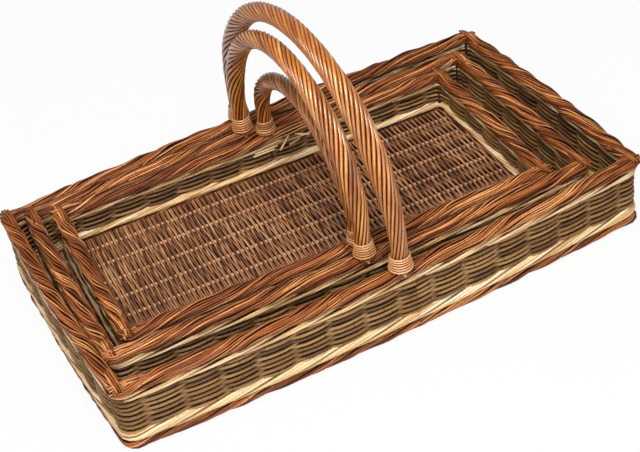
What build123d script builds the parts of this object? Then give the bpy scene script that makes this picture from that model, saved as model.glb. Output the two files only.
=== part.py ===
from build123d import *
from dataclasses import dataclass
from math import cos, hypot, pi, radians, sin, sqrt
import os

os.makedirs("parts", exist_ok=True)

# Set of three nested willow trugs. Millimetres, +Z up, X along the baskets.
# The origin is on the table under the middle of the large basket.

# Large basket, measured over its rim at the corners
large_length = 610.0
large_width = 340.0
large_height = 84.5
large_side_bow = 9.0
large_end_bow = 4.2
large_corner = 24.0

# Middle basket: the room it leaves inside the large one, and how it lies there
middle_end_room = 38.4
middle_side_room = 36.4
middle_rim_step = 6.0
middle_side_bow = 4.4
middle_end_bow = 3.0
middle_corner = 22.0
middle_shift = -13.5
middle_aside = -0.5
middle_turn = -2.35

# Small basket: the room it leaves inside the middle one, and how it lies there
small_end_room = 41.4
small_side_room = 13.4
small_rim_step = -0.5
small_side_bow = 0.5
small_end_bow = 2.0
small_corner = 20.0
small_shift = -5.8
small_aside = 1.4
small_turn = -0.65

# Rings of the wall, from the table up
foot_height = 13.0
foot_width = 10.4
foot_round = 2.0
bottom_wale_height = 9.5
bottom_wale_width = 11.3
wall_thickness = 9.6
wall_round = 1.0
top_wale_height = 6.5
top_wale_width = 10.8
wale_round = 1.6
rim_width = 11.3
rim_height = 10.5
rim_round = 2.0

# Floor
floor_lift = 3.0
floor_thickness = 11.0
floor_gap = 0.3
floor_round = 1.2
stick_diameter = 4.6
stick_margin = 16.0

# Uprights inside the wall
stake_diameter = 3.6
post_diameter = 5.2
stake_tuck = 4.0
socket_gap = 0.3

# Handles
bow_diameter = 9.0
bow_end_diameter = 6.4
bow_depth = 34.0
roping_gap = 0.3
peg_diameter = 3.0
peg_proud = 1.0
large_roping_diameter = 20.0
middle_roping_diameter = 18.0
small_roping_diameter = 17.0
large_leg_height = 28.0
middle_leg_height = 33.0
small_leg_height = 24.0
large_handle_top = 295.5
middle_handle_drop = 25.0
small_handle_drop = 59.0
large_handle_shift = 0.0
middle_handle_shift = -2.9
small_handle_shift = 15.0
large_handle_turn = 2.3
middle_handle_turn = 2.9
small_handle_turn = 0.0
large_shoulder_share = 0.9126
middle_shoulder_share = 0.9295
small_shoulder_share = 0.8043
steepest_arch_share = 0.998

# Whippings, thin willow wound round the feet of each handle
whip_diameter = 2.2
whip_turns = 6
whip_gap = 0.3
turn_gap = 0.5
whip_bend = 2.8

floor_top = floor_lift + floor_thickness


@dataclass
class Basket:
    name: str
    plane: Plane
    length: float
    width: float
    height: float
    side_bow: float
    end_bow: float
    corner: float
    long_stakes: int
    short_stakes: int
    floor_sticks: int
    handle_top: float
    leg_height: float
    handle_shift: float
    handle_turn: float
    roping_diameter: float
    shoulder_share: float


# Nesting: each basket stands on the floor of the one round it
def nested_plane(outer, shift, aside, turn):
    place = outer * Location((shift, aside, floor_top), (0, 0, turn))
    return Plane(place)


large_plane = Plane.XY
middle_plane = nested_plane(large_plane, middle_shift, middle_aside, middle_turn)
small_plane = nested_plane(middle_plane, small_shift, small_aside, small_turn)
middle_length = large_length - 2 * rim_width - middle_end_room
middle_width = large_width - 2 * rim_width - middle_side_room
middle_height = large_height + middle_rim_step - floor_top
small_length = middle_length - 2 * rim_width - small_end_room
small_width = middle_width - 2 * rim_width - small_side_room
small_height = middle_height + small_rim_step - floor_top
middle_handle_top = large_handle_top - middle_handle_drop - floor_top
small_handle_top = middle_handle_top - small_handle_drop - floor_top

large = Basket(
    name="large",
    plane=large_plane,
    length=large_length,
    width=large_width,
    height=large_height,
    side_bow=large_side_bow,
    end_bow=large_end_bow,
    corner=large_corner,
    long_stakes=14,
    short_stakes=7,
    floor_sticks=9,
    handle_top=large_handle_top,
    leg_height=large_leg_height,
    handle_shift=large_handle_shift,
    handle_turn=large_handle_turn,
    roping_diameter=large_roping_diameter,
    shoulder_share=large_shoulder_share,
)
middle = Basket(
    name="middle",
    plane=middle_plane,
    length=middle_length,
    width=middle_width,
    height=middle_height,
    side_bow=middle_side_bow,
    end_bow=middle_end_bow,
    corner=middle_corner,
    long_stakes=12,
    short_stakes=6,
    floor_sticks=8,
    handle_top=middle_handle_top,
    leg_height=middle_leg_height,
    handle_shift=middle_handle_shift,
    handle_turn=middle_handle_turn,
    roping_diameter=middle_roping_diameter,
    shoulder_share=middle_shoulder_share,
)
small = Basket(
    name="small",
    plane=small_plane,
    length=small_length,
    width=small_width,
    height=small_height,
    side_bow=small_side_bow,
    end_bow=small_end_bow,
    corner=small_corner,
    long_stakes=11,
    short_stakes=5,
    floor_sticks=7,
    handle_top=small_handle_top,
    leg_height=small_leg_height,
    handle_shift=small_handle_shift,
    handle_turn=small_handle_turn,
    roping_diameter=small_roping_diameter,
    shoulder_share=small_shoulder_share,
)


# Levels inside one basket, from its own foot
def weave_low():
    return foot_height + bottom_wale_height


def rim_low(basket):
    return basket.height - rim_height


def weave_high(basket):
    return rim_low(basket) - top_wale_height


# Outlines: rectangles with bowed sides and round corners
def outline(basket, inset, level):
    half_length = basket.length / 2 - inset
    half_width = basket.width / 2 - inset
    end = half_length + basket.end_bow
    side = half_width + basket.side_bow
    with BuildSketch(basket.plane.offset(level)) as shape:
        with BuildLine():
            ThreePointArc((-half_length, -half_width), (0, -side), (half_length, -half_width))
            ThreePointArc((half_length, -half_width), (end, 0), (half_length, half_width))
            ThreePointArc((half_length, half_width), (0, side), (-half_length, half_width))
            ThreePointArc((-half_length, half_width), (-end, 0), (-half_length, -half_width))
        make_face()
        fillet(shape.vertices(), radius=basket.corner - inset)
    return shape.sketch


def draw_band(ring, basket, width, low, height, rounding):
    outer_inset = (rim_width - width) / 2
    extrude(outline(basket, outer_inset, low), amount=height)
    extrude(outline(basket, outer_inset + width, low), amount=height, mode=Mode.SUBTRACT)
    flats = ring.faces().filter_by(Axis.Z)
    fillet(flats.edges(), radius=rounding)


# Places of the uprights on the middle line of the wall
def stake_points(basket):
    half_length = (basket.length - rim_width) / 2
    half_width = (basket.width - rim_width) / 2
    points = []
    for i in range(basket.long_stakes):
        share = (2 * i + 1) / basket.long_stakes - 1
        x = share * (half_length - basket.corner)
        y = half_width + basket.side_bow * (1 - (x / half_length) ** 2)
        points += [(x, -y), (x, y)]
    for i in range(basket.short_stakes):
        share = (2 * i + 1) / basket.short_stakes - 1
        y = share * (half_width - basket.corner)
        x = half_length + basket.end_bow * (1 - (y / half_width) ** 2)
        points += [(-x, y), (x, y)]
    return points


def post_points(basket):
    radius = basket.corner - rim_width / 2
    x = basket.length / 2 - basket.corner + radius * cos(pi / 4)
    y = basket.width / 2 - basket.corner + radius * sin(pi / 4)
    return [(-x, -y), (x, -y), (x, y), (-x, y)]


def rounds(basket, points, diameter, level):
    with BuildSketch(basket.plane.offset(level)) as dots:
        with Locations(*points):
            Circle(diameter / 2)
    return dots.sketch


def cut_upright_sockets(basket, low, height):
    stake_bore = stake_diameter + 2 * socket_gap
    post_bore = post_diameter + 2 * socket_gap
    extrude(rounds(basket, stake_points(basket), stake_bore, low), amount=height, mode=Mode.SUBTRACT)
    extrude(rounds(basket, post_points(basket), post_bore, low), amount=height, mode=Mode.SUBTRACT)


# Handle line: straight feet, two shoulder arcs and a crown arc
def half_span(basket):
    reach = basket.width / 2 - rim_width / 2 + basket.side_bow
    return reach / cos(radians(basket.handle_turn))


def handle_plane(basket):
    turn = radians(basket.handle_turn)
    foot = basket.plane * Location((basket.handle_shift, 0, basket.height))
    span = basket.plane.x_dir * -sin(turn) + basket.plane.y_dir * cos(turn)
    return Plane(origin=foot.position, x_dir=span, z_dir=span.cross(basket.plane.z_dir))


# The arch is a half circle at its steepest: a taller handle has longer straight legs.
# The shoulders' share is of the arch's rise or half span, the lesser one.
def draw_handle_line(basket):
    span = half_span(basket)
    top = basket.handle_top - basket.height - basket.roping_diameter / 2
    rise = min(top - basket.leg_height, steepest_arch_share * span)
    leg_height = top - rise
    shoulder = basket.shoulder_share * min(span, rise)
    inner = span - shoulder
    crown = (inner**2 + rise**2 - shoulder**2) / (2 * (rise - shoulder))
    lean_x = inner / (crown - shoulder)
    lean_y = (crown - rise) / (crown - shoulder)
    join_x = crown * lean_x
    join_y = leg_height + rise - crown + crown * lean_y
    half_turn = hypot(1 + lean_x, lean_y)
    mid_x = inner + shoulder * (1 + lean_x) / half_turn
    mid_y = leg_height + shoulder * lean_y / half_turn
    Line((-span, 0), (-span, leg_height))
    ThreePointArc((-span, leg_height), (-mid_x, mid_y), (-join_x, join_y))
    ThreePointArc((-join_x, join_y), (0, leg_height + rise), (join_x, join_y))
    ThreePointArc((join_x, join_y), (mid_x, mid_y), (span, leg_height))
    Line((span, leg_height), (span, 0))


def foot_planes(basket):
    arch = handle_plane(basket)
    span = half_span(basket)
    feet = []
    for side in (-span, span):
        origin = arch.from_local_coords(Vector(side, 0, 0))
        feet.append(Plane(origin=origin, x_dir=basket.plane.x_dir, z_dir=basket.plane.z_dir))
    return feet


def cut_bow_sockets(basket):
    for foot in foot_planes(basket):
        with BuildSketch(foot) as bore:
            Circle(bow_end_diameter / 2 + socket_gap)
        extrude(bore.sketch, amount=-bow_depth - socket_gap, mode=Mode.SUBTRACT)


# Whipping line: a coil of quarter-turn biarcs with a straight run at each end
def biarc(start, start_way, finish, finish_way):
    chord = finish - start
    ways = start_way + finish_way
    rest = 4 - ways.dot(ways)
    along = chord.dot(ways)
    reach = (sqrt(along**2 + rest * chord.dot(chord)) - along) / rest
    middle_point = (start + start_way * reach + finish - finish_way * reach) * 0.5
    TangentArc(start, middle_point, tangent=start_way)
    TangentArc(middle_point, finish, tangent=middle_point - start - start_way * reach)


def coil_radius(basket):
    return basket.roping_diameter / 2 + whip_gap + whip_diameter / 2


def coil_station(basket, foot, angle, level):
    radius = coil_radius(basket)
    pitch = whip_diameter + turn_gap
    spot = foot.from_local_coords(Vector(radius * cos(angle), radius * sin(angle), level))
    ahead = Vector(-sin(angle) * radius, cos(angle) * radius, pitch / (2 * pi)).normalized()
    way = foot.from_local_coords(ahead) - foot.origin
    return spot, way.normalized()


def draw_whipping_line(basket, foot):
    pitch = whip_diameter + turn_gap
    swing = whip_bend / coil_radius(basket)
    up = foot.z_dir
    spot, way = coil_station(basket, foot, 0, 0)
    Line(spot - up * whip_diameter, spot)
    last, last_way = spot, up
    quarters = 4 * whip_turns
    for i in range(quarters + 1):
        angle = swing + i * pi / 2
        spot, way = coil_station(basket, foot, angle, whip_bend + i * pitch / 4)
        biarc(last, last_way, spot, way)
        last, last_way = spot, way
    angle += swing
    spot, way = coil_station(basket, foot, angle, 2 * whip_bend + whip_turns * pitch)
    biarc(last, last_way, spot, up)
    Line(spot, spot + up * whip_diameter)


def coil_gap(wire):
    steps = 900
    spots = [wire.position_at(i / steps) for i in range(steps + 1)]
    apart = round(steps * 0.5 / whip_turns)
    gaps = [
        (spots[i] - spots[j]).length
        for i in range(0, steps + 1)
        for j in range(i + apart, steps + 1)
    ]
    return min(gaps) - whip_diameter


# Pieces
def finish(piece, basket, name):
    piece.part.label = f"{basket.name}_{name}"
    export_step(piece.part, f"parts/{basket.name}_{name}.step")


def make_foot_border(basket):
    with BuildPart() as foot_border:
        draw_band(foot_border, basket, foot_width, 0, foot_height, foot_round)
        cut_upright_sockets(basket, foot_height - stake_tuck - socket_gap, stake_tuck + socket_gap)
    finish(foot_border, basket, "foot_border")


def make_bottom_wale(basket):
    with BuildPart() as bottom_wale:
        draw_band(
            bottom_wale, basket, bottom_wale_width, foot_height, bottom_wale_height, wale_round
        )
        cut_upright_sockets(basket, foot_height, bottom_wale_height)
    finish(bottom_wale, basket, "bottom_wale")


def make_side_weave(basket):
    height = weave_high(basket) - weave_low()
    with BuildPart() as side_weave:
        draw_band(side_weave, basket, wall_thickness, weave_low(), height, wall_round)
        cut_upright_sockets(basket, weave_low(), height)
        cut_bow_sockets(basket)
    finish(side_weave, basket, "side_weave")


def make_top_wale(basket):
    with BuildPart() as top_wale:
        draw_band(
            top_wale, basket, top_wale_width, weave_high(basket), top_wale_height, wale_round
        )
        cut_upright_sockets(basket, weave_high(basket), top_wale_height)
        cut_bow_sockets(basket)
    finish(top_wale, basket, "top_wale")


def make_rim_border(basket):
    with BuildPart() as rim_border:
        draw_band(rim_border, basket, rim_width, rim_low(basket), rim_height, rim_round)
        cut_upright_sockets(basket, rim_low(basket), stake_tuck + socket_gap)
        cut_bow_sockets(basket)
        for foot in foot_planes(basket):
            tip, _ = coil_station(basket, foot, 0, 0)
            with BuildSketch(Plane(origin=tip, z_dir=foot.z_dir)) as tuck:
                Circle(whip_diameter / 2 + socket_gap)
            extrude(tuck.sketch, amount=-whip_diameter - socket_gap, mode=Mode.SUBTRACT)
            peg_bore = peg_diameter / 2 + socket_gap
            extrude(peg_round(foot, peg_bore), amount=rim_width, both=True, mode=Mode.SUBTRACT)
    finish(rim_border, basket, "rim_border")


def make_side_stakes(basket):
    low = foot_height - stake_tuck
    high = rim_low(basket) + stake_tuck
    with BuildPart() as side_stakes:
        extrude(rounds(basket, stake_points(basket), stake_diameter, low), amount=high - low)
    finish(side_stakes, basket, "side_stakes")


def make_corner_posts(basket):
    low = foot_height - stake_tuck
    high = rim_low(basket) + stake_tuck
    with BuildPart() as corner_posts:
        extrude(rounds(basket, post_points(basket), post_diameter, low), amount=high - low)
    finish(corner_posts, basket, "corner_posts")


# Floor of sticks along the basket, woven across
def floor_inset():
    return (rim_width + bottom_wale_width) / 2 + floor_gap


def stick_points(basket):
    room = basket.width / 2 - floor_inset() - stick_margin
    count = basket.floor_sticks
    return [(room * (2 * i / (count - 1) - 1), floor_lift + floor_thickness / 2) for i in range(count)]


def stick_rounds(basket, diameter):
    base = basket.plane
    across = Plane(origin=base.origin, x_dir=base.y_dir, z_dir=base.x_dir)
    with BuildSketch(across) as ends:
        with Locations(*stick_points(basket)):
            Circle(diameter / 2)
    return ends.sketch


def make_floor_sticks(basket):
    reach = basket.length / 2 - floor_inset()
    with BuildPart() as floor_sticks:
        extrude(stick_rounds(basket, stick_diameter), amount=reach, both=True)
    finish(floor_sticks, basket, "floor_sticks")


def make_floor_weave(basket):
    with BuildPart() as floor_weave:
        extrude(outline(basket, floor_inset(), floor_lift), amount=floor_thickness)
        fillet(floor_weave.faces().filter_by(Axis.Z).edges(), radius=floor_round)
        bore = stick_rounds(basket, stick_diameter + 2 * socket_gap)
        extrude(bore, amount=basket.length / 2, both=True, mode=Mode.SUBTRACT)
    finish(floor_weave, basket, "floor_weave")


# Handle: a bent bow inside its roping, with whippings and pegs at the feet
def peg_round(foot, radius):
    level = foot.origin - foot.z_dir * (rim_height / 2)
    with BuildSketch(Plane(origin=level, x_dir=foot.x_dir, z_dir=foot.y_dir)) as end:
        Circle(radius)
    return end.sketch


def foot_round_face(foot, radius, bore=0):
    with BuildSketch(foot) as face:
        Circle(radius)
        if bore > 0:
            Circle(bore, mode=Mode.SUBTRACT)
    return face.sketch


def make_handle_bow(basket):
    front, back = foot_planes(basket)
    with BuildLine(handle_plane(basket)) as line:
        draw_handle_line(basket)
    with BuildPart() as handle_bow:
        sweep(foot_round_face(front, bow_diameter / 2), path=line.wire())
        for foot in (front, back):
            extrude(foot_round_face(foot, bow_end_diameter / 2), amount=-bow_depth)
            bore = peg_round(foot, peg_diameter / 2 + socket_gap)
            extrude(bore, amount=bow_end_diameter, both=True, mode=Mode.SUBTRACT)
    finish(handle_bow, basket, "handle_bow")


def make_handle_roping(basket):
    front, back = foot_planes(basket)
    bore = bow_diameter / 2 + roping_gap
    with BuildLine(handle_plane(basket)) as line:
        draw_handle_line(basket)
    with BuildPart() as handle_roping:
        sweep(foot_round_face(front, basket.roping_diameter / 2, bore), path=line.wire())
    finish(handle_roping, basket, "handle_roping")


def make_whipping(basket, foot, name):
    with BuildLine() as line:
        draw_whipping_line(basket, foot)
    wire = line.wire()
    gap = coil_gap(wire)
    print(f"{basket.name}_{name}: least gap of the coil to itself {gap:.3f} mm")
    with BuildPart() as whipping:
        start = Plane(origin=wire.position_at(0), z_dir=foot.z_dir)
        sweep(foot_round_face(start, whip_diameter / 2), path=wire)
    finish(whipping, basket, name)


def make_handle_pegs(basket):
    with BuildPart() as handle_pegs:
        for foot in foot_planes(basket):
            extrude(peg_round(foot, peg_diameter / 2), amount=rim_width / 2 + peg_proud, both=True)
    finish(handle_pegs, basket, "handle_pegs")


for basket in (large, middle, small):
    make_foot_border(basket)
    make_bottom_wale(basket)
    make_side_weave(basket)
    make_top_wale(basket)
    make_rim_border(basket)
    make_side_stakes(basket)
    make_corner_posts(basket)
    make_floor_sticks(basket)
    make_floor_weave(basket)
    make_handle_bow(basket)
    make_handle_roping(basket)
    front_foot, back_foot = foot_planes(basket)
    make_whipping(basket, front_foot, "front_whipping")
    make_whipping(basket, back_foot, "back_whipping")
    make_handle_pegs(basket)
    print(f"{basket.name} basket written")
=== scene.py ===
import bpy
import math
from bisect import bisect_right
from mathutils import Matrix, Vector


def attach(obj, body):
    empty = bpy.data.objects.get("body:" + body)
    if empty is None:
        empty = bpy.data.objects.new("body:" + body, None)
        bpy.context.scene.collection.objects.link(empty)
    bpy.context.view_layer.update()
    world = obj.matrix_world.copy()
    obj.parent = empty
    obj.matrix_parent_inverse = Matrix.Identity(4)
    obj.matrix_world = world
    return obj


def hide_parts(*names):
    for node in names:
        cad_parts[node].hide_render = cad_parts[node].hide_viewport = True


# Three nested willow trugs. Every rod is laid along a path by one Geometry Nodes tree.
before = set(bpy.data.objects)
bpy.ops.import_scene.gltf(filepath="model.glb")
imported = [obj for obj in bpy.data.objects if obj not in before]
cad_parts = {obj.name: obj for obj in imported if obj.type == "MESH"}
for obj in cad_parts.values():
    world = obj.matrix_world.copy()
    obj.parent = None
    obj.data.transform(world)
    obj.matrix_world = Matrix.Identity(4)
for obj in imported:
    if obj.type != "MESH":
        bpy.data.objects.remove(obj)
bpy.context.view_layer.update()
print("frame loaded", len(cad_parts), "nodes")

mm = 0.001

# sizes of the three baskets, in millimetres and degrees, as in the solids
largeBasket = {
    "name": "large", "length": 610, "width": 340, "height": 84.5, "sideBow": 9, "endBow": 4.2,
    "corner": 24, "place": (0, 0, 0), "turn": 0, "longStakes": 14, "shortStakes": 7,
    "floorSticks": 9, "handleTop": 295.5, "handleShift": 0, "handleTurn": 2.3,
    "legHeight": 28, "ropingDiameter": 20, "shoulderShare": 0.9126, "seed": 3,
    "ropeRadii": (9.0, 12.2, 10.2), "strands": 14, "waleReach": 4.6, "endsPast": 8,
}
middleBasket = {
    "name": "middle", "length": 549, "width": 281, "height": 76.5, "sideBow": 4.4, "endBow": 3,
    "corner": 22, "place": (-13.5, -0.5, 14), "turn": -2.35, "longStakes": 12, "shortStakes": 6,
    "floorSticks": 8, "handleTop": 256.5, "handleShift": -2.9, "handleTurn": 2.9,
    "legHeight": 33, "ropingDiameter": 18, "shoulderShare": 0.9295, "seed": 11,
    "ropeRadii": (8.6, 11.2, 9.9), "strands": 13, "waleReach": 3.8, "endsPast": 5,
}
smallBasket = {
    "name": "small", "length": 485, "width": 245, "height": 62, "sideBow": 0.5, "endBow": 2,
    "corner": 20, "place": (-19.24, 1.14, 28), "turn": -3, "longStakes": 11, "shortStakes": 5,
    "floorSticks": 7, "handleTop": 183.5, "handleShift": 15, "handleTurn": 0,
    "legHeight": 24, "ropingDiameter": 17, "shoulderShare": 0.8043, "seed": 23,
    "ropeRadii": (8.0, 10.2, 8.7), "strands": 12, "waleReach": 2.8, "endsPast": 7,
}
baskets = [largeBasket, middleBasket, smallBasket]

# the bands of the wall, and how far the rods are pulled out to a sharper corner than the arc
wallBands = {
    "footHeight": 13, "bottomWaleHeight": 9.5, "topWaleHeight": 6.5, "rimHeight": 10.5,
    "rimWidth": 11.3, "cornerPull": 2.0,
}


def weaveHigh(basket):
    return basket["height"] - wallBands["rimHeight"] - wallBands["topWaleHeight"]


def placeOf(basket):
    spot = Matrix.Translation(Vector(basket["place"]) * mm)
    return spot @ Matrix.Rotation(math.radians(basket["turn"]), 4, "Z")


def upBy(height):
    return Vector((0, 0, height))


# node helpers
def feed(tree, socket, value):
    if isinstance(value, bpy.types.NodeSocket):
        tree.links.new(value, socket)
    else:
        socket.default_value = value


def addNode(tree, kind, inputs=None, **settings):
    node = tree.nodes.new(kind)
    for key, value in settings.items():
        setattr(node, key, value)
    for key, value in (inputs or {}).items():
        feed(tree, node.inputs[key], value)
    return node


def maths(tree, operation, first, second=0.0):
    return addNode(tree, "ShaderNodeMath", {0: first, 1: second}, operation=operation).outputs[0]


def plus(tree, first, second):
    return maths(tree, "ADD", first, second)


def minus(tree, first, second):
    return maths(tree, "SUBTRACT", first, second)


def times(tree, first, *others):
    for other in others:
        first = maths(tree, "MULTIPLY", first, other)
    return first


def vectorMaths(tree, operation, inputs, output="Vector"):
    return addNode(tree, "ShaderNodeVectorMath", inputs, operation=operation).outputs[output]


def scaled(tree, vector, factor):
    return vectorMaths(tree, "SCALE", {0: vector, "Scale": factor})


def dotted(tree, first, second):
    return vectorMaths(tree, "DOT_PRODUCT", {0: first, 1: second}, "Value")


def readAttribute(tree, name, kind="FLOAT"):
    node = addNode(tree, "GeometryNodeInputNamedAttribute", {"Name": name}, data_type=kind)
    return node.outputs["Attribute"]


def keepAttribute(tree, geometry, name, value, kind="FLOAT"):
    inputs = {"Geometry": geometry, "Name": name, "Value": value}
    node = addNode(tree, "GeometryNodeStoreNamedAttribute", inputs, data_type=kind, domain="POINT")
    return node.outputs["Geometry"]


def randomPer(tree, number, seed, low=0.0, high=1.0):
    node = addNode(tree, "FunctionNodeRandomValue", {"ID": number, "Seed": seed}, data_type="FLOAT")
    least, most = [socket for socket in node.inputs if socket.enabled][:2]
    feed(tree, least, low)
    feed(tree, most, high)
    return [socket for socket in node.outputs if socket.enabled][0]


def addInput(tree, name, kind, default=None):
    socket = tree.interface.new_socket(name, in_out="INPUT", socket_type=kind)
    if default is not None:
        socket.default_value = default


# a socket called Rod Radius takes the value that a dictionary calls rodRadius
def keyOf(socketName):
    return socketName[0].lower() + socketName[1:].replace(" ", "")


# steps that keep the rods and the baskets apart in the noise and in the random draws
rodChance = {"rodStep": 7.31, "seedStep": 3.7, "tintStep": 131.0, "tintStart": 0.25, "girthSeed": 5}


# the tree that lays rods along a path, round it in twists or over and under in a weave
def growRodTree():
    tree = bpy.data.node_groups.new("layRods", "GeometryNodeTree")
    addInput(tree, "Path", "NodeSocketGeometry")
    for name, default in (("Rods", 3), ("Rods Per Group", 1), ("Sides", 7), ("Seed", 1)):
        addInput(tree, name, "NodeSocketInt", default)
    for name in (
        "Group Turn", "Rod Turn", "Group Lift", "Pitch", "Out Reach", "Up Reach", "Snap",
        "Up Snap", "Rod Radius", "Uneven", "Wander", "Wander Scale", "Tint Cells", "Flat", "Plain",
    ):
        addInput(tree, name, "NodeSocketFloat", 0.0)
    addInput(tree, "Finish", "NodeSocketMaterial")
    tree.interface.new_socket("Rods", in_out="OUTPUT", socket_type="NodeSocketGeometry")

    given = addNode(tree, "NodeGroupInput").outputs
    line = addNode(tree, "GeometryNodeMeshToCurve", {"Mesh": given["Path"]})
    copies = addNode(tree, "GeometryNodeDuplicateElements", {
        "Geometry": line.outputs["Curve"], "Amount": given["Rods"],
    }, domain="SPLINE")
    number = copies.outputs["Duplicate Index"]

    # angle of each rod round the path, in turns
    group = maths(tree, "FLOOR", maths(tree, "DIVIDE", number, given["Rods Per Group"]))
    inGroup = maths(tree, "MODULO", number, given["Rods Per Group"])
    groupTurn = times(tree, group, given["Group Turn"])
    rodTurn = times(tree, inGroup, given["Rod Turn"])
    turns = plus(tree, readAttribute(tree, "turn"), plus(tree, groupTurn, rodTurn))
    angle = times(tree, turns, 2 * math.pi)

    # snap steepens the crossing between over and under, and squares the section of a border
    def snapped(wave, snap):
        under = times(tree, snap, times(tree, wave, wave))
        share = maths(tree, "DIVIDE", plus(tree, snap, 1.0), plus(tree, under, 1.0))
        return times(tree, wave, maths(tree, "SQRT", share))

    wave = snapped(maths(tree, "COSINE", angle), given["Snap"])
    rise = snapped(maths(tree, "SINE", angle), given["Up Snap"])

    # the last rod of a group rides up on the next group
    step = maths(tree, "DIVIDE", inGroup, maths(tree, "MAXIMUM", given["Rods Per Group"], 1.0))
    lift = plus(tree, times(tree, step, given["Group Lift"]), 1.0)
    swell = times(tree, readAttribute(tree, "swell"), lift)
    out = times(tree, given["Out Reach"], wave, swell)
    up = times(tree, given["Up Reach"], rise, swell)
    outward = readAttribute(tree, "outward", "FLOAT_VECTOR")
    upward = readAttribute(tree, "upward", "FLOAT_VECTOR")

    def across(out, up):
        return vectorMaths(tree, "ADD", {0: scaled(tree, outward, out), 1: scaled(tree, upward, up)})

    facing = across(out, up)
    up = plus(tree, up, times(tree, number, given["Pitch"]))

    # hand-made unevenness
    rodShift = times(tree, number, rodChance["rodStep"])
    seedShift = times(tree, given["Seed"], rodChance["seedStep"])
    noise = addNode(tree, "ShaderNodeTexNoise", {
        "Vector": addNode(tree, "GeometryNodeInputPosition").outputs[0],
        "Scale": given["Wander Scale"], "Detail": 1.0, "W": plus(tree, rodShift, seedShift),
    }, noise_dimensions="4D")
    parts = addNode(tree, "ShaderNodeSeparateXYZ", {0: noise.outputs["Color"]}).outputs
    sway = [times(tree, minus(tree, parts[i], 0.5), given["Wander"]) for i in (0, 1)]
    faced = keepAttribute(tree, copies.outputs["Geometry"], "facing", facing, "FLOAT_VECTOR")
    move = addNode(tree, "GeometryNodeSetPosition", {
        "Geometry": faced, "Offset": across(plus(tree, out, sway[0]), plus(tree, up, sway[1])),
    })

    # values that the bark reads: how far along, how far round, and a tint for each length of rod
    spline = addNode(tree, "GeometryNodeSplineParameter")
    laid = keepAttribute(tree, move.outputs["Geometry"], "along", spline.outputs["Length"])
    cell = plus(tree, times(tree, turns, given["Tint Cells"]), rodChance["tintStart"])
    tintId = plus(tree, maths(tree, "FLOOR", cell), times(tree, number, rodChance["tintStep"]))
    whole = addNode(tree, "FunctionNodeFloatToInt", {0: tintId})
    laid = keepAttribute(tree, laid, "tint", randomPer(tree, whole.outputs[0], given["Seed"]))
    circle = addNode(tree, "GeometryNodeCurvePrimitiveCircle", {
        "Resolution": given["Sides"], "Radius": 1.0,
    })
    profile = keepAttribute(tree, circle.outputs["Curve"], "around", spline.outputs["Factor"])

    # rods differ in thickness, and taper with the path
    thin = minus(tree, 1.0, given["Uneven"])
    thick = plus(tree, 1.0, given["Uneven"])
    girth = randomPer(tree, number, plus(tree, given["Seed"], rodChance["girthSeed"]), thin, thick)
    girth = times(tree, girth, readAttribute(tree, "taper"))
    tube = addNode(tree, "GeometryNodeCurveToMesh", {
        "Curve": laid, "Profile Curve": profile, "Scale": times(tree, given["Rod Radius"], girth),
        "Fill Caps": True,
    })

    # crest is 1 on the open side of a rod and falls to 0 in the gaps beside it; the bark paints shade
    # into the gaps by it. With Flat the crest follows the faces of a woven layer, and Plain is the
    # least crest a rod has
    normal = addNode(tree, "GeometryNodeInputNormal").outputs[0]
    faced = vectorMaths(tree, "NORMALIZE", {0: readAttribute(tree, "facing", "FLOAT_VECTOR")})
    twisted = dotted(tree, normal, faced)
    woven = maths(tree, "ABSOLUTE", dotted(tree, normal, outward))
    between = times(tree, minus(tree, woven, twisted), given["Flat"])
    crest = maths(tree, "MAXIMUM", plus(tree, twisted, between), given["Plain"])
    smooth = addNode(tree, "GeometryNodeSetShadeSmooth", {
        "Geometry": keepAttribute(tree, tube.outputs["Mesh"], "crest", crest),
    })
    real = addNode(tree, "GeometryNodeRealizeInstances", {"Geometry": smooth.outputs["Geometry"]})
    paint = addNode(tree, "GeometryNodeSetMaterial", {
        "Geometry": real.outputs["Geometry"], "Material": given["Finish"],
    })
    addNode(tree, "NodeGroupOutput", {"Rods": paint.outputs["Geometry"]})
    return tree


rodTree = growRodTree()
print("rod tree grown")


# a path is a list of stations: spot, outward, upward, turn, swell, taper
def station(spot, outward, upward, turn, swell=1.0, taper=1.0):
    return {"spot": Vector(spot), "outward": Vector(outward), "upward": Vector(upward),
            "turn": turn, "swell": swell, "taper": taper}


def addObject(name, data):
    newObject = bpy.data.objects.new(name, data)
    bpy.context.collection.objects.link(newObject)
    return newObject


# values that the dictionaries give in millimetres and the rod tree takes in metres
lengthKeys = ("pitch", "outReach", "upReach", "rodRadius", "wander")


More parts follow.
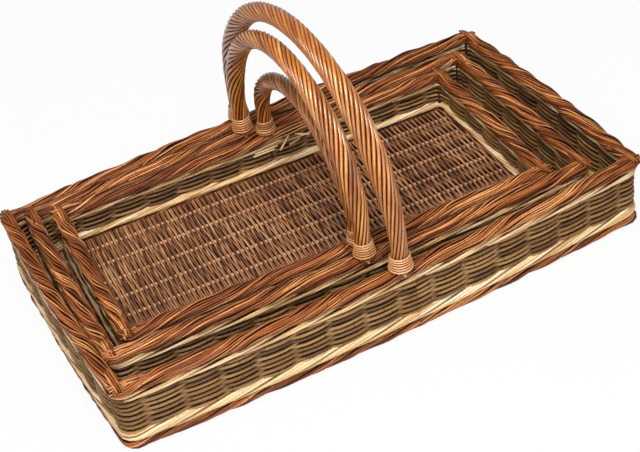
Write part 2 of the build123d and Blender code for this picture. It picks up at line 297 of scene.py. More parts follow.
# rods along the paths, with the values of their piece and any changes to them
def layRods(basket, name, paths, piece, **changes):
    place = placeOf(basket)
    spin = place.to_3x3()
    mesh = bpy.data.meshes.new(basket["name"] + name + "Path")
    stations = [s for path in paths for s in path]
    edges, first = [], 0
    for path in paths:
        edges += [(first + i, first + i + 1) for i in range(len(path) - 1)]
        first += len(path)
    mesh.from_pydata([place @ (s["spot"] * mm) for s in stations], edges, [])
    for key in ("outward", "upward"):
        layer = mesh.attributes.new(key, "FLOAT_VECTOR", "POINT")
        for item, s in zip(layer.data, stations):
            item.vector = spin @ s[key]
    for key in ("turn", "swell", "taper"):
        layer = mesh.attributes.new(key, "FLOAT", "POINT")
        for item, s in zip(layer.data, stations):
            item.value = s[key]
    values = {"rodsPerGroup": 1, "sides": 7, "seed": basket["seed"], **piece, **changes}
    values["finish"] = willow[values["finish"]]
    if "groups" in values:  # the groups of a twist stand evenly round its path
        values["rods"] = values["groups"] * values["rodsPerGroup"]
        values["groupTurn"] = 1 / values["groups"]
    carrier = addObject(basket["name"] + name + "Path", mesh)
    modifier = carrier.modifiers.new("layRods", "NODES")
    modifier.node_group = rodTree
    for item in rodTree.interface.items_tree:
        key = keyOf(item.name)
        if item.in_out == "INPUT" and key in values:
            modifier[item.identifier] = values[key] * mm if key in lengthKeys else values[key]
    sight = bpy.context.evaluated_depsgraph_get()
    rods = bpy.data.meshes.new_from_object(carrier.evaluated_get(sight))
    bpy.data.objects.remove(carrier)
    return rods


def joined(basket, name, meshes):
    first = addObject(basket["name"] + name, meshes[0])
    others = [addObject(first.name + "Part", mesh) for mesh in meshes[1:]]
    if others:
        with bpy.context.temp_override(
            active_object=first, selected_editable_objects=[first, *others]
        ):
            bpy.ops.object.join()
    return first


def settle(piece, basket, slot, *nodes):
    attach(piece, basket["name"] + "_basket")
    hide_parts(*[f"{basket['name']}_{node}" for node in nodes])
    print(piece.name, len(piece.data.polygons), "faces")


# the line round a basket, in the middle of its wall: bowed sides and ends that arcs join
ringSteps = {"fine": 0.75, "arc": 24, "solving": 6, "betweenStakes": 8}


def bowedOut(half, bow, along, halfAlong):
    return half + bow * (1 - (along / halfAlong) ** 2)


def slopeOf(bow, along, halfAlong):
    return 2 * bow * along / halfAlong**2


def cornerOf(basket):
    inset = wallBands["rimWidth"] / 2
    halfLength = basket["length"] / 2 - inset
    halfWidth = basket["width"] / 2 - inset
    radius = basket["corner"] - inset
    x, y = halfLength - radius, halfWidth - radius
    for _ in range(ringSteps["solving"]):  # the arc touches both bowed sides
        sideSlope = slopeOf(basket["sideBow"], x, halfLength)
        endSlope = slopeOf(basket["endBow"], y, halfWidth)
        y = bowedOut(halfWidth, basket["sideBow"], x, halfLength) - radius * math.hypot(1, sideSlope)
        x = bowedOut(halfLength, basket["endBow"], y, halfWidth) - radius * math.hypot(1, endSlope)
    return x, y, radius, halfLength, halfWidth


def evenly(edge):
    steps = int(edge / ringSteps["fine"])
    return [edge * i / steps for i in range(steps + 1)]


def ringLine(basket):
    x, y, radius, halfLength, halfWidth = cornerOf(basket)
    sideSlope = slopeOf(basket["sideBow"], x, halfLength)
    endSlope = slopeOf(basket["endBow"], y, halfWidth)
    quarter = []
    for along in evenly(x + radius * sideSlope):
        quarter.append((along, bowedOut(halfWidth, basket["sideBow"], along, halfLength)))
    start, finish = math.atan2(1, sideSlope), math.atan2(endSlope, 1)
    for i in range(1, ringSteps["arc"]):
        a = start + (finish - start) * i / ringSteps["arc"]
        quarter.append((x + radius * math.cos(a), y + radius * math.sin(a)))
    for along in reversed(evenly(y + radius * endSlope)):
        quarter.append((bowedOut(halfLength, basket["endBow"], along, halfWidth), along))
    line = []
    for sx, sy, way in ((1, -1, 1), (1, 1, -1), (-1, 1, 1), (-1, -1, -1)):
        line += [Vector((sx * px, sy * py, 0)) for px, py in quarter[::way]][:-1]
    return line


def stakeSpots(basket):
    x, y, radius, halfLength, halfWidth = cornerOf(basket)
    spots = []
    for i in range(basket["longStakes"]):
        along = ((2 * i + 1) / basket["longStakes"] - 1) * (halfLength - basket["corner"])
        side = bowedOut(halfWidth, basket["sideBow"], along, halfLength)
        spots += [(along, -side), (along, side)]
    for i in range(basket["shortStakes"]):
        along = ((2 * i + 1) / basket["shortStakes"] - 1) * (halfWidth - basket["corner"])
        end = bowedOut(halfLength, basket["endBow"], along, halfWidth)
        spots += [(-end, along), (end, along)]
    reach = radius * math.sqrt(0.5)
    spots += [(sx * (x + reach), sy * (y + reach)) for sx in (-1, 1) for sy in (-1, 1)]
    return [Vector((px, py, 0)) for px, py in spots]


# stations round the ring, as many between each pair of stakes, so that rods weave round them
def ringStations(basket):
    line = ringLine(basket)
    total = len(line)
    marks = []
    for spot in stakeSpots(basket):
        marks.append(min(range(total), key=lambda i: (line[i] - spot).length_squared))
    marks.sort()
    reach = [0.0]
    for i in range(total):
        reach.append(reach[-1] + (line[(i + 1) % total] - line[i]).length)
    stations = []
    between = ringSteps["betweenStakes"]
    for k, mark in enumerate(marks):
        start = reach[mark]
        after = marks[(k + 1) % len(marks)]
        finish = reach[after] + (reach[total] if after < mark else 0)
        for j in range(between):
            goal = (start + (finish - start) * j / between) % reach[total]
            low = bisect_right(reach, goal) - 1
            share = (goal - reach[low]) / (reach[low + 1] - reach[low])
            a, b = line[low], line[(low + 1) % total]
            way = (line[(low + 2) % total] - line[low - 1]).normalized()
            outward = Vector((way.y, -way.x, 0))
            sharp = (2 * way.x * way.y) ** 2
            spot = a.lerp(b, share) + outward * wallBands["cornerPull"] * sharp
            stations.append(
                {"spot": spot, "outward": outward, "phase": k + j / between, "sharp": sharp}
            )
    return stations + [{**stations[0], "phase": len(marks)}]


def ringPath(ring, level, turns):
    return [
        station(s["spot"] + upBy(level), s["outward"], upBy(1), turn) for s, turn in zip(ring, turns)
    ]


# colours, written as they look
def tone(red, green, blue):
    def linear(value):
        share = value / 255
        return share / 12.92 if share <= 0.04045 else ((share + 0.055) / 1.055) ** 2.4

    return (linear(red), linear(green), linear(blue), 1.0)


# streaks are noise, scaled along a rod, round it and by its tint, with some detail;
# lengths here are in metres, and an edge is where a mask starts and where it is full
willowBark = {
    "fineStreaks": (70.0, 9.0, 41.0, 3.0), "broadStreaks": (14.0, 2.0, 17.0, 2.0), "fineShare": 0.5,
    "mainEdge": (0.28, 0.52), "lightEdge": (0.5, 0.78), "streakHeight": 0.6,
    "knotSpacing": 0.034, "knotShift": 0.31, "knotEdge": (0.0014, 0.0004),
    # gapEdge and gapShade: where the painted shade in the gaps starts, and how dark it is, as a share
    # of the dark bark
    "gapEdge": (0.9, 0.1), "gapShade": 0.22,
}


# bark group: streaks that run along a rod, blotches, and knots, and painted shade down in the gaps
# beside a rod
def growBarkGroup():
    tree = bpy.data.node_groups.new("willowBark", "ShaderNodeTree")
    for name, default in (
        ("Tint", 0.5), ("Along", 0.5), ("Around", 0.5), ("Crest", 1.0), ("Tint Reach", 0.6),
        ("Knots", 0.4), ("Gap", 0.8), ("Gap Reach", 0.0),
    ):
        addInput(tree, name, "NodeSocketFloat", default)
    for name in ("Dark", "Main", "Light"):
        addInput(tree, name, "NodeSocketColor", (0.5, 0.5, 0.5, 1.0))
    for name, kind in (("Colour", "NodeSocketColor"), ("Shade", "NodeSocketFloat"),
                       ("Height", "NodeSocketFloat")):
        tree.interface.new_socket(name, in_out="OUTPUT", socket_type=kind)
    given = addNode(tree, "NodeGroupInput").outputs

    def streaks(alongScale, aroundScale, tintScale, detail):
        spot = addNode(tree, "ShaderNodeCombineXYZ", {
            "X": times(tree, given["Along"], alongScale),
            "Y": times(tree, given["Around"], aroundScale),
            "Z": times(tree, given["Tint"], tintScale),
        })
        noise = addNode(tree, "ShaderNodeTexNoise", {
            "Vector": spot.outputs[0], "Scale": 1.0, "Detail": detail,
        }, noise_dimensions="3D")
        return noise.outputs["Fac"]

    def masked(edge, value):
        node = addNode(tree, "ShaderNodeMapRange", {
            "Value": value, "From Min": edge[0], "From Max": edge[1],
        }, interpolation_type="SMOOTHSTEP")
        return node.outputs["Result"]

    def mixed(factor, first, second):
        inputs = {0: factor, 6: first, 7: second}
        return addNode(tree, "ShaderNodeMix", inputs, data_type="RGBA").outputs[2]

    fine = streaks(*willowBark["fineStreaks"])
    broad = streaks(*willowBark["broadStreaks"])
    share = willowBark["fineShare"]
    shade = plus(tree, times(tree, fine, share), times(tree, broad, 1 - share))
    shade = plus(tree, shade, times(tree, minus(tree, given["Tint"], 0.5), given["Tint Reach"]))
    colour = mixed(masked(willowBark["mainEdge"], shade), given["Dark"], given["Main"])
    colour = mixed(masked(willowBark["lightEdge"], shade), colour, given["Light"])
    # knots are short dark rings, one in every few centimetres
    place = plus(tree, given["Along"], times(tree, given["Tint"], willowBark["knotShift"]))
    near = maths(tree, "PINGPONG", place, willowBark["knotSpacing"])
    knot = times(tree, masked(willowBark["knotEdge"], near), given["Knots"])
    colour = mixed(knot, colour, given["Dark"])
    # the sides of a rod are painted darker down in the gaps: painted shade, where the neighbouring rods
    # shade them
    bare = minus(tree, given["Crest"], given["Gap Reach"])
    gap = times(tree, masked(willowBark["gapEdge"], bare), given["Gap"])
    colour = mixed(gap, colour, scaled(tree, given["Dark"], willowBark["gapShade"]))
    height = plus(tree, times(tree, fine, willowBark["streakHeight"]), knot)
    addNode(tree, "NodeGroupOutput", {"Colour": colour, "Shade": shade, "Height": height})
    return tree


barkGroup = growBarkGroup()

# one finish for each kind of rod: dark, main and light bark, and how it takes the light; gap and
# gapReach set the painted shade in the gaps beside the rods
finishes = {
    "redBark": {
        "dark": tone(92, 40, 8), "main": tone(162, 88, 34), "light": tone(232, 162, 98),
        "tintReach": 0.36, "knots": 0.5, "roughLow": 0.34, "roughHigh": 0.55, "bump": 0.4,
        "gap": 0.95, "gapReach": 0.12, "gloss": 0.3,
    },
    "oliveBark": {
        "dark": tone(80, 52, 22), "main": tone(134, 94, 48), "light": tone(178, 138, 84),
        "tintReach": 0.36, "knots": 0.5, "roughLow": 0.45, "roughHigh": 0.64, "bump": 0.3,
        "gap": 0.85,
    },
    "creamWillow": {
        "dark": tone(186, 134, 78), "main": tone(230, 194, 142), "light": tone(248, 226, 192),
        "tintReach": 0.3, "knots": 0.35, "roughLow": 0.38, "roughHigh": 0.55, "bump": 0.15,
        "gap": 0.8,
    },
    "goldenWillow": {
        "dark": tone(122, 58, 10), "main": tone(184, 106, 32), "light": tone(232, 164, 84),
        "tintReach": 0.25, "knots": 0.25, "roughLow": 0.24, "roughHigh": 0.4, "bump": 0.12,
        "coat": 1.0, "gap": 1.0, "gapReach": 0.14,
    },
    "floorBark": {
        "dark": tone(92, 54, 32), "main": tone(154, 100, 62), "light": tone(206, 152, 108),
        "tintReach": 0.3, "knots": 0.5, "roughLow": 0.42, "roughHigh": 0.6, "bump": 0.3,
        "gap": 1.0, "gapReach": 0.14,
    },
    # floor sticks: partly a paler stick tone, partly painted light pushed in against the shade between
    # the floor rods, so that they show as bright dots
    "stickBark": {
        "dark": tone(184, 130, 88), "main": tone(238, 188, 142), "light": tone(250, 220, 184),
        "tintReach": 0.3, "knots": 0.0, "roughLow": 0.5, "roughHigh": 0.7, "bump": 0.2,
        "gap": 0.0,
    },
    "tanWillow": {
        "dark": tone(150, 88, 46), "main": tone(204, 136, 82), "light": tone(236, 184, 134),
        "tintReach": 0.35, "knots": 0.1, "roughLow": 0.34, "roughHigh": 0.5, "bump": 0.12,
        "gap": 0.8,
    },
    # near-black bark of the heart band, heart sheet and border cores: painted shade
    "darkHeart": {
        "dark": tone(30, 14, 8), "main": tone(52, 26, 14), "light": tone(84, 44, 26),
        "tintReach": 0.3, "knots": 0.0, "roughLow": 0.6, "roughHigh": 0.8, "bump": 0.2,
        "gap": 0.0,
    },
    "paleEnds": {
        "dark": tone(190, 150, 100), "main": tone(232, 206, 160), "light": tone(248, 232, 200),
        "tintReach": 0.3, "knots": 0.0, "roughLow": 0.45, "roughHigh": 0.6, "bump": 0.1,
        "gap": 0.0,
    },
}
# what a finish has where it says nothing else
plainFinish = {"gapReach": 0.0, "gloss": 0.4, "coat": 0.0, "coatRough": 0.22, "bumpDistance": 0.0006,
               "shadeLow": 0.3, "shadeHigh": 0.7}


def freshTree(owner):
    owner.use_nodes = True
    owner.node_tree.nodes.clear()
    return owner.node_tree


def makeFinish(name, recipe):
    recipe = {**plainFinish, **recipe}
    material = bpy.data.materials.new(name)
    tree = freshTree(material)
    bark = addNode(tree, "ShaderNodeGroup", node_tree=barkGroup)
    for socket in bark.inputs:
        key = keyOf(socket.name)
        if key in recipe:
            socket.default_value = recipe[key]
        else:
            value = addNode(tree, "ShaderNodeAttribute", attribute_name=key)
            feed(tree, socket, value.outputs["Fac"])
    rough = addNode(tree, "ShaderNodeMapRange", {
        "Value": bark.outputs["Shade"], "From Min": recipe["shadeLow"],
        "From Max": recipe["shadeHigh"], "To Min": recipe["roughHigh"], "To Max": recipe["roughLow"],
    })
    bump = addNode(tree, "ShaderNodeBump", {
        "Strength": recipe["bump"], "Distance": recipe["bumpDistance"],
        "Height": bark.outputs["Height"],
    })
    skin = addNode(tree, "ShaderNodeBsdfPrincipled", {
        "Base Color": bark.outputs["Colour"], "Roughness": rough.outputs["Result"],
        "Normal": bump.outputs["Normal"], "Specular IOR Level": recipe["gloss"],
        "Coat Weight": recipe["coat"], "Coat Roughness": recipe["coatRough"],
    })
    addNode(tree, "ShaderNodeOutputMaterial", {"Surface": skin.outputs["BSDF"]})
    return material


willow = {name: makeFinish(name, recipe) for name, recipe in finishes.items()}
print("finishes made", len(willow))

# dark heart of a wall, a thin band between the rods that go in front and behind,
# and of a floor, a thin sheet between its rods; both are near-black, as painted shade seen through the
# gaps
heartBand = {"thickness": 1.2, "low": 5.0, "underRim": 6.0, "floorLift": 8.2, "floorMargin": 2.0}


def heartMesh(basket, name, spots, faces):
    place = placeOf(basket)
    mesh = bpy.data.meshes.new(basket["name"] + name)
    mesh.from_pydata([place @ (spot * mm) for spot in spots], [], faces)
    mesh.materials.append(willow["darkHeart"])
    return mesh


def heartStrip(basket, ring):
    half = heartBand["thickness"] / 2
    low, high = heartBand["low"], basket["height"] - heartBand["underRim"]
    section = ((half, low), (half, high), (-half, high), (-half, low))
    stations = ring[:-1]
    spots = [s["spot"] + s["outward"] * side + upBy(level) for s in stations for side, level in section]
    faces = []
    for i in range(len(stations)):
        here, after = 4 * i, 4 * ((i + 1) % len(stations))
        for k in range(4):
            nextK = (k + 1) % 4
            faces.append((after + k, after + nextK, here + nextK, here + k))
    return heartMesh(basket, "Heart", spots, faces)


def heartSheet(basket, ring):
    half = heartBand["thickness"] / 2
    edge = [s["spot"] - s["outward"] * heartBand["floorMargin"] for s in ring[:-1]]
    total = len(edge)
    spots = [spot + upBy(heartBand["floorLift"] + z) for z in (-half, half) for spot in edge]
    faces = [tuple(reversed(range(total))), tuple(range(total, 2 * total))]
    for i in range(total):
        after = (i + 1) % total
        faces.append((i, after, after + total, i + total))
    return heartMesh(basket, "Sheet", spots, faces)


# the woven side: each rod goes in front of one stake and behind the next
sideWeave = {
    "rodRadius": 1.95, "spacing": 2.95, "tuck": 0.6, "outReach": 2.75, "snap": 1.2,
    "groupTurn": 0.5, "uneven": 0.14, "wander": 2.0, "wanderScale": 26.0, "tintCells": 0.4,
    "flat": 1.0, "finish": "oliveBark",
}


def weaveSide(basket, ring):
    margin = sideWeave["rodRadius"] - sideWeave["tuck"]
    low = wallBands["footHeight"] + wallBands["bottomWaleHeight"] + margin
    high = weaveHigh(basket) - margin
    rods = round((high - low) / sideWeave["spacing"]) + 1
    path = ringPath(ring, low, [s["phase"] / 2 for s in ring])
    pitch = (high - low) / (rods - 1)
    mesh = layRods(basket, "SideWeave", [path], sideWeave, rods=rods, pitch=pitch)
    weave = joined(basket, "SideWeave", [mesh, heartStrip(basket, ring)])
    settle(weave, basket, "olive_willow", "side_weave")


# turns of the rods round their path, quicker across the ends where they are asked to be;
# their sum is whole, so that each rod meets its own start where the line closes
def rollAlong(ring, sideStakes, endStakes):
    turns = [0.0]
    for a, b in zip(ring, ring[1:]):
        step = b["phase"] - a["phase"]
        facesEnd = abs(a["outward"].x)
        rate = 1 / sideStakes + (1 / endStakes - 1 / sideStakes) * facesEnd
        turns.append(turns[-1] + step * rate)
    whole = round(turns[-1])
    return [t * whole / turns[-1] for t in turns]


# cream bands, twisted round the stakes: three groups of two rods above, and of three below
topWale = {
    "groups": 3, "rodsPerGroup": 2, "rodTurn": 0.11, "rodRadius": 1.65, "outReach": 4.3,
    "upReach": 2.7, "lift": 1.0, "stakesPerTurn": 5, "uneven": 0.15, "wander": 1.6,
    "wanderScale": 18.0, "tintCells": 1.0, "finish": "creamWillow",
}
bottomWale = {
    "groups": 3, "rodsPerGroup": 3, "rodTurn": 0.09, "rodRadius": 2.0, "outReach": 4.1,
    "stakesPerTurn": 5, "uneven": 0.12, "wander": 1.2, "wanderScale": 18.0, "tintCells": 1.0,
    "finish": "creamWillow",
}
# loose ends of rods on the inside of the small basket, beside the back foot of its handle;
# from the foot: along, in, down at either end
strayEnds = {
    "rods": 1, "rodRadius": 1.3, "sides": 8, "tintCells": 1.0, "flat": 1.0,
    "finish": "creamWillow", "sag": (0, -0.8, 0.6),
    "ends": [
        ((-22, 11.5, 15), (6, 11.8, 13.5)), ((-24, 11.0, 18), (2, 11.6, 17)),
        ((22, 9.5, 7), (8, 13.5, 20)), ((30, 9.0, 9), (46, 12.0, 14)),
        ((34, 12.0, 15), (20, 12.6, 18)),
    ],
}


def layStrayEnds(basket):
    foot = handleFoot(basket, 1)
    paths = []
    for number, ends in enumerate(strayEnds["ends"]):
        spots = [foot + Vector((along, -inside, -down)) for along, inside, down in ends]
        spots.insert(1, spots[0].lerp(spots[1], 0.5) + Vector(strayEnds["sag"]))
        paths.append([station(spot, (0, 1, 0), (0, 0, 1), number) for spot in spots])
    return layRods(basket, "StrayEnds", paths, strayEnds)


def layWale(basket, ring, name, level, wale, **changes):
    turns = rollAlong(ring, wale["stakesPerTurn"], wale["stakesPerTurn"])
    return layRods(basket, name, [ringPath(ring, level, turns)], wale, **changes)


def layTopWale(basket, ring):
    level = weaveHigh(basket) + topWale["lift"]
    meshes = [layWale(basket, ring, "TopWale", level, topWale)]
    if basket is smallBasket:
        meshes.append(layStrayEnds(basket))
    settle(joined(basket, "TopWale", meshes), basket, "cream_willow", "top_wale")


def layBottomWale(basket, ring):
    level = wallBands["footHeight"] + wallBands["bottomWaleHeight"] / 2
    mesh = layWale(basket, ring, "BottomWale", level, bottomWale, upReach=basket["waleReach"])
    settle(joined(basket, "BottomWale", [mesh]), basket, "cream_willow", "bottom_wale")


# red-brown borders: bundles of rods that roll slowly along the sides and quickly across the ends
borderRods = {"uneven": 0.24, "wander": 3.4, "wanderScale": 24.0, "tintCells": 1.0,
              "finish": "redBark", "rippleStakes": 2.6}
rimBorder = {
    **borderRods, "groups": 4, "rodsPerGroup": 4, "rodTurn": 0.062, "groupLift": 0.34,
    "rodRadius": 1.2, "outReach": 5.65, "upReach": 4.45, "snap": 0.7, "upSnap": 0.7,
    "inward": 1.5, "underTop": 1.1, "scallop": 0.09, "ripple": 0.05, "cornerPull": 2.6,
    "sideStakesPerTurn": 6, "endStakesPerTurn": 4.2,
    "core": {"outReach": 2.9, "upReach": 1.9, "rodRadius": 2.0},
}
footBorder = {
    **borderRods, "groups": 3, "rodsPerGroup": 3, "rodTurn": 0.09, "groupLift": 0.3,
    "rodRadius": 1.6, "outReach": 3.3, "upReach": 3.2, "inward": 0, "scallop": 0.08,
    "ripple": 0.03, "cornerPull": 1.5, "sideStakesPerTurn": 4, "endStakesPerTurn": 3,
    "core": {"outReach": 1.0, "upReach": 1.0, "rodRadius": 1.5},
}
# dark rods inside a border, so that no light comes through between the outer ones; their near-black
# bark is painted shade
borderCore = {"groups": 6, "sides": 6, "finish": "darkHeart"}


def layBorder(basket, ring, name, level, border, extra=()):
    turns = rollAlong(ring, border["sideStakesPerTurn"], border["endStakesPerTurn"])
    stakes = ring[-1]["phase"]
    ripples = round(stakes / border["rippleStakes"])
    path = []
    for s, turn in zip(ring, turns):
        turn += border["ripple"] * math.sin(2 * math.pi * ripples * (s["phase"] / stakes))
        reach = border["cornerPull"] * s["sharp"] - border["inward"]
        spot = s["spot"] + s["outward"] * reach + upBy(level)
        swell = 1 + border["scallop"] * math.cos(2 * math.pi * s["phase"])
        path.append(station(spot, s["outward"], (0, 0, 1), turn, swell=swell))
    rods = layRods(basket, name, [path], border)
    core = layRods(basket, name + "Core", [path], borderCore, **border["core"])
    return joined(basket, name, [rods, core, *extra])


# rods that cross on top of the corners of a rim, cut off a little past it
cornerEnds = {
    "rods": 1, "rodRadius": 1.4, "sides": 8, "tintCells": 1.0, "flat": 1.0, "wander": 2.2,
    "wanderScale": 60.0, "finish": "redBark", "perCorner": 4, "run": 34, "rest": 13,
    "outer": -3.0, "spacing": 2.7, "ragged": 1.5, "rodStep": 5, "cornerStep": 3, "shorter": 0.5,
    "top": 6.2, "crown": 4, "fall": 0.08, "sink": 3.0, "over": 1.0, "droop": 1,
}


def crossCorners(basket, level):
    halfLength, halfWidth = cornerOf(basket)[3:]
    paths = []
    for corner, (sx, sy) in enumerate(((-1, -1), (1, -1), (1, 1), (-1, 1))):
        for k in range(cornerEnds["perCorner"]):
            inside = cornerEnds["outer"] + k * cornerEnds["spacing"]
            lift = level + cornerEnds["top"] - cornerEnds["fall"] * (inside - cornerEnds["crown"]) ** 2
            uneven = math.sin(cornerEnds["rodStep"] * k + cornerEnds["cornerStep"] * corner)
            past = basket["endsPast"] + cornerEnds["ragged"] * uneven - cornerEnds["shorter"] * k
            for alongSide, height in ((True, lift), (False, lift + cornerEnds["over"])):
                spots = []
                for reach, z in (
                    (-cornerEnds["run"], lift - cornerEnds["sink"]),
                    (-cornerEnds["rest"], height),
                    (past, height - cornerEnds["droop"]),
                ):
                    x, y = (reach, -inside) if alongSide else (-inside, reach)
                    spots.append((sx * (halfLength + x), sy * (halfWidth + y), z))
                turn = len(paths)
                paths.append([station(spot, (0, 0, 1), (1, 0, 0), turn) for spot in spots])
    return layRods(basket, "CornerEnds", paths, cornerEnds)


def layRim(basket, ring):
    level = basket["height"] - rimBorder["upReach"] * rimBorder["underTop"] - rimBorder["rodRadius"]
    rim = layBorder(basket, ring, "RimBorder", level, rimBorder, [crossCorners(basket, level)])
    settle(rim, basket, "red_willow", "rim_border")


def layFoot(basket, ring):
    level = footBorder["upReach"] * (1 + footBorder["groupLift"] / 2) + footBorder["rodRadius"]
    foot = layBorder(basket, ring, "FootBorder", level, footBorder)
    # the lowest rods touch the level that the basket stands on
    lowest = min(vertex.co.z for vertex in foot.data.vertices)
    foot.data.transform(Matrix.Translation(upBy(basket["place"][2] * mm - lowest)))
    settle(foot, basket, "red_willow", "foot_border")


# floor: rods across the basket, over and under the sticks
floorWeave = {
    "rodRadius": 1.5, "spacing": 2.75, "outReach": 2.1, "snap": 0.3, "groupTurn": 0.5,
    "uneven": 0.2, "wander": 0.9, "wanderScale": 30.0, "tintCells": 1.0, "flat": 1.0, "sides": 6,
    "finish": "floorBark", "lift": 10.1, "inset": 8.6, "stickMargin": 16, "betweenSticks": 6,
}


def weaveFloor(basket, ring):
    halfWidth = basket["width"] / 2 - floorWeave["inset"]
    halfLength = basket["length"] / 2 - floorWeave["inset"]
    room = halfWidth - floorWeave["stickMargin"]
    stickSpacing = 2 * room / (basket["floorSticks"] - 1)
    steps = round(2 * halfWidth / stickSpacing * floorWeave["betweenSticks"])
    rods = round(2 * halfLength / floorWeave["spacing"])
    path = []
    for i in range(steps + 1):
        y = halfWidth * (2 * i / steps - 1)
        turn = (y + room) / stickSpacing / 2
        spot = (-halfLength + floorWeave["rodRadius"], y, floorWeave["lift"])
        path.append(station(spot, (0, 0, 1), (1, 0, 0), turn))
    pitch = 2 * (halfLength - floorWeave["rodRadius"]) / (rods - 1)
    mesh = layRods(basket, "FloorWeave", [path], floorWeave, rods=rods, pitch=pitch)
    # stretch the rods out to the bowed walls
    place = placeOf(basket)
    back = place.inverted()
    for vertex in mesh.vertices:
        local = back @ vertex.co
        along = min(1.0, abs(local.x / mm) / halfLength)
        across = min(1.0, abs(local.y / mm) / halfWidth)
        local.x *= 1 + basket["endBow"] * (1 - across**2) / halfLength
        local.y *= 1 + basket["sideBow"] * (1 - along**2) / halfWidth
        vertex.co = place @ local
    floor = joined(basket, "FloorWeave", [mesh, heartSheet(basket, ring)])
    settle(floor, basket, "floor_willow", "floor_weave")


# handle: strands laid round the bow, slim at the feet and full in the flanks; a pair of shares
# says where from the foot to the middle a change starts and ends, and the swell of each station
# is the radius that multiplies the reaches
handleRoping = {
    "rodRadius": 2.05, "outReach": 1, "upReach": 1, "uneven": 0.06, "wander": 0.3,
    "wanderScale": 25.0, "sides": 8, "finish": "goldenWillow", "footThin": 0.8,
    "flankShares": (0.1, 0.42), "crownShares": (0.5, 0.88), "twistShares": (0.05, 0.6),
    "twistDegrees": 26, "footTwistDegrees": 12, "tuck": 2.0, "tuckedIn": 0.75, "flare": 1.6,
    "flareHeight": 18, "legSteps": 8, "shoulderSteps": 12, "crownSteps": 48,
}


def handleSpan(basket):
    reach = basket["width"] / 2 - wallBands["rimWidth"] / 2 + basket["sideBow"]
    return reach / math.cos(math.radians(basket["handleTurn"]))


# the middle between the feet, the way from it to the back foot, and the way across that
def handleAxes(basket):
    turn = math.radians(basket["handleTurn"])
    span = Vector((-math.sin(turn), math.cos(turn), 0))
    across = Vector((math.cos(turn), math.sin(turn), 0))
    return Vector((basket["handleShift"], 0, basket["height"])), span, across


def handleFoot(basket, side):
    middle, span = handleAxes(basket)[:2]
    return middle + span * handleSpan(basket) * side


# stations of the bow, out from the middle and up from the rim, with the way they face
def handleLine(basket):
    span = handleSpan(basket)
    leg = basket["legHeight"]
    rise = basket["handleTop"] - basket["height"] - basket["ropingDiameter"] / 2 - leg
    shoulder = basket["shoulderShare"] * min(span, rise)
    inner = span - shoulder
    crown = (inner**2 + rise**2 - shoulder**2) / (2 * (rise - shoulder))
    join = math.atan2(crown - rise, inner)
    half = [(span, -handleRoping["tuck"], 0.0)]
    steps = handleRoping["legSteps"]
    half += [(span, leg * i / steps, 0.0) for i in range(steps + 1)]
    steps = handleRoping["shoulderSteps"]
    for i in range(1, steps + 1):
        a = join * i / steps
        half.append((inner + shoulder * math.cos(a), leg + shoulder * math.sin(a), a))
    steps = handleRoping["crownSteps"]
    for i in range(1, steps + 1):
        a = join + (math.pi / 2 - join) * i / steps
        half.append((crown * math.cos(a), leg + rise - crown + crown * math.sin(a), a))
    front = [(-u, v, math.pi - a) for u, v, a in half]
    return front + half[-2::-1]


def eased(low, high, value):
    share = min(1.0, max(0.0, (value - low) / (high - low)))
    return share * share * (3 - 2 * share)


def ropeHandle(basket):
    middle, span, across = handleAxes(basket)
    footRadius, flankRadius, crownRadius = basket["ropeRadii"]
    footTwist = handleRoping["footTwistDegrees"]
    moreTwist = handleRoping["twistDegrees"] - footTwist
    line = handleLine(basket)
    lengths = [0.0]
    for (u0, v0, _), (u1, v1, _) in zip(line, line[1:]):
        lengths.append(lengths[-1] + math.hypot(u1 - u0, v1 - v0))
    total = lengths[-1]
    path = []
    turn = 0.0
    last = 0.0
    for (u, v, a), here in zip(line, lengths):
        share = min(here, total - here) / total * 2
        fill = eased(*handleRoping["flankShares"], share)
        radius = footRadius + (flankRadius - footRadius) * fill
        radius += (crownRadius - flankRadius) * eased(*handleRoping["crownShares"], share)
        lay = footTwist + eased(*handleRoping["twistShares"], share) * moreTwist
        turn += (here - last) * math.tan(math.radians(lay)) / (2 * math.pi * radius)
        last = here
        thin = handleRoping["footThin"] + (1 - handleRoping["footThin"]) * fill
        reach = radius - handleRoping["rodRadius"] * thin
        reach += handleRoping["flare"] * eased(-handleRoping["flareHeight"], 0, -v)
        if v < 0:  # down between the rods of the rim
            reach *= handleRoping["tuckedIn"]
        outward = span * math.cos(a) + upBy(math.sin(a))
        spot = middle + span * u + upBy(v)
        path.append(station(spot, outward, across, turn, swell=reach, taper=thin))
    mesh = layRods(basket, "HandleRoping", [path], handleRoping, groups=basket["strands"])
    settle(joined(basket, "HandleRoping", [mesh]), basket, "handle_willow", "handle_roping")


# whipping: thin willow wound round each foot of a handle
whipping = {
    "rods": 1, "rodRadius": 1.1, "wander": 0.15, "wanderScale": 40.0, "tintCells": 0.5,
    "sides": 9, "finish": "tanWillow", "turns": 6.3, "stepsPerTurn": 26, "low": 1.6,
    "climb": 2.75, "clear": 0.3, "lowOut": 1.0, "highIn": 1.9, "startIn": 0.86, "startDown": 0.8,
    "endIn": 0.7, "endUp": 0.6, "endTurn": 0.07,
}


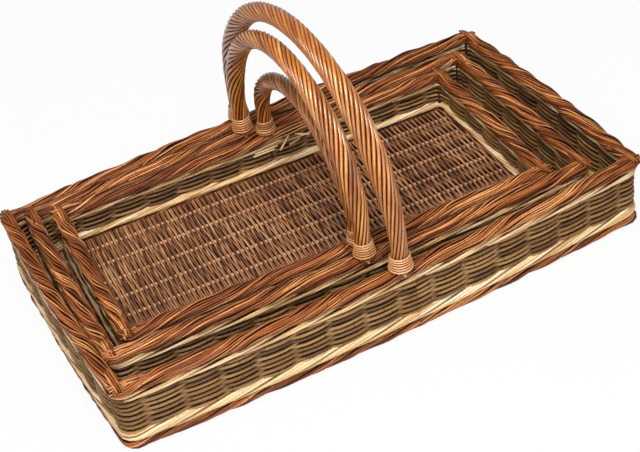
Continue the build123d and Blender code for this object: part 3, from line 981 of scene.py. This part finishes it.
def whipFoot(basket, side, name, node):
    foot = handleFoot(basket, side)
    radius = basket["ropingDiameter"] / 2 + whipping["clear"] + whipping["rodRadius"]

    def wound(level, turn, swell):
        return station(foot + upBy(level), (1, 0, 0), (0, 1, 0), turn, swell=swell)

    path = [wound(whipping["low"] - whipping["startDown"], -whipping["endTurn"], whipping["startIn"])]
    for i in range(round(whipping["turns"] * whipping["stepsPerTurn"]) + 1):
        turn = i / whipping["stepsPerTurn"]
        level = whipping["low"] + turn * whipping["climb"]
        share = turn / whipping["turns"]
        swell = 1 + (whipping["lowOut"] * (1 - share) ** 2 - whipping["highIn"] * share) / radius
        path.append(wound(level, turn, swell))
    lastTurn = whipping["turns"] + whipping["endTurn"]
    path.append(wound(level + whipping["endUp"], lastTurn, whipping["endIn"]))
    mesh = layRods(basket, name, [path], whipping, outReach=radius, upReach=radius)
    settle(joined(basket, name, [mesh]), basket, "tan_willow", node)


# pegs through the rim at both feet, cut off just proud of it
handlePegs = {"rods": 1, "rodRadius": 1.5, "sides": 12, "tintCells": 1.0, "plain": 1.0,
              "finish": "paleEnds", "proud": 2.6, "steps": 6, "endThin": 0.82}


def drivePegs(basket):
    half = wallBands["rimWidth"] / 2 + handlePegs["proud"]
    steps = handlePegs["steps"]
    paths = []
    for side in (-1, 1):
        middle = handleFoot(basket, side) - upBy(wallBands["rimHeight"] / 2)
        path = []
        for i in range(steps + 1):
            y = half * (2 * i / steps - 1)
            thin = handlePegs["endThin"] if i in (0, steps) else 1.0
            path.append(station(middle + Vector((0, y, 0)), (1, 0, 0), (0, 0, 1), side, taper=thin))
        paths.append(path)
    mesh = layRods(basket, "HandlePegs", paths, handlePegs)
    settle(joined(basket, "HandlePegs", [mesh]), basket, "pale_willow", "handle_pegs")


# bark of the pieces that stay as the solids
solidFinishes = {"side_stakes": "oliveBark", "corner_posts": "oliveBark", "floor_sticks": "stickBark",
                 "handle_bow": "oliveBark"}


def dressSolids(basket):
    for node, finish in solidFinishes.items():
        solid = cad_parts[f"{basket['name']}_{node}"]
        for slot in solid.material_slots:
            slot.material = willow[finish]


for basket in baskets:
    ring = ringStations(basket)
    weaveSide(basket, ring)
    layTopWale(basket, ring)
    layBottomWale(basket, ring)
    layRim(basket, ring)
    layFoot(basket, ring)
    weaveFloor(basket, ring)
    ropeHandle(basket)
    whipFoot(basket, -1, "FrontWhipping", "front_whipping")
    whipFoot(basket, 1, "BackWhipping", "back_whipping")
    drivePegs(basket)
    dressSolids(basket)
    print(basket["name"], "basket woven")

# studio: pale floor, soft light from above and in front, camera as in the photograph
studio = {"floorSize": 14.0, "floorWhite": 0.62, "floorGlow": 0.92, "worldStrength": 0.4,
          "worldWhite": (1, 1, 1, 1), "lampAim": (0, 0, 0.1)}
lamps = {
    "keyLight": {"energy": 31.0, "size": 0.7, "spot": (-0.3, -0.5, 1.8)},
    "fillLight": {"energy": 33.0, "size": 1.6, "spot": (-0.9, -1.9, 1.3)},
}
photoView = {"sensor": 36, "lens": 83.39, "clipStart": 0.05, "spot": (-0.49685, -1.18849, 1.02835),
             "turnDegrees": (51.907, 6.899, -28.064)}


# what the camera sees directly is one shader, and what lights the object is the other
def splitByCamera(tree, output, lighting, seen, seenShare=1.0):
    light = addNode(tree, "ShaderNodeLightPath")
    share = times(tree, light.outputs["Is Camera Ray"], seenShare)
    mix = addNode(tree, "ShaderNodeMixShader", {0: share, 1: lighting.outputs[0], 2: seen.outputs[0]})
    addNode(tree, output, {"Surface": mix.outputs[0]})


def makeFloor():
    half = studio["floorSize"] / 2
    mesh = bpy.data.meshes.new("studioFloor")
    mesh.from_pydata([(-half, -half, 0), (half, -half, 0), (half, half, 0), (-half, half, 0)],
                     [], [(0, 1, 2, 3)])
    material = bpy.data.materials.new("studioFloor")
    tree = freshTree(material)
    white = studio["floorWhite"]
    matt = addNode(tree, "ShaderNodeBsdfDiffuse", {"Color": (white, white, white, 1)})
    glow = addNode(tree, "ShaderNodeEmission")
    splitByCamera(tree, "ShaderNodeOutputMaterial", matt, glow, studio["floorGlow"])
    mesh.materials.append(material)
    floor = addObject("studioFloor", mesh)


def makeWorld():
    world = bpy.data.worlds.new("studio")
    bpy.context.scene.world = world
    tree = freshTree(world)
    white = studio["worldWhite"]
    soft = addNode(tree, "ShaderNodeBackground", {"Strength": studio["worldStrength"], "Color": white})
    bright = addNode(tree, "ShaderNodeBackground", {"Color": white})
    splitByCamera(tree, "ShaderNodeOutputWorld", soft, bright)


def addLamp(name, lamp):
    data = bpy.data.lights.new(name, "AREA")
    data.energy = lamp["energy"]
    data.size = lamp["size"]
    light = addObject(name, data)
    light.location = lamp["spot"]
    way = Vector(studio["lampAim"]) - Vector(lamp["spot"])
    light.rotation_euler = way.to_track_quat("-Z", "Y").to_euler()


def addCamera():
    data = bpy.data.cameras.new("camera")
    data.sensor_width = photoView["sensor"]
    data.lens = photoView["lens"]
    data.clip_start = photoView["clipStart"]
    camera = addObject("camera", data)
    camera.location = photoView["spot"]
    camera.rotation_euler = [math.radians(a) for a in photoView["turnDegrees"]]
    bpy.context.scene.camera = camera


makeFloor()
makeWorld()
for name, lamp in lamps.items():
    addLamp(name, lamp)
addCamera()
bpy.context.scene.view_settings.view_transform = "Standard"
print("studio set")
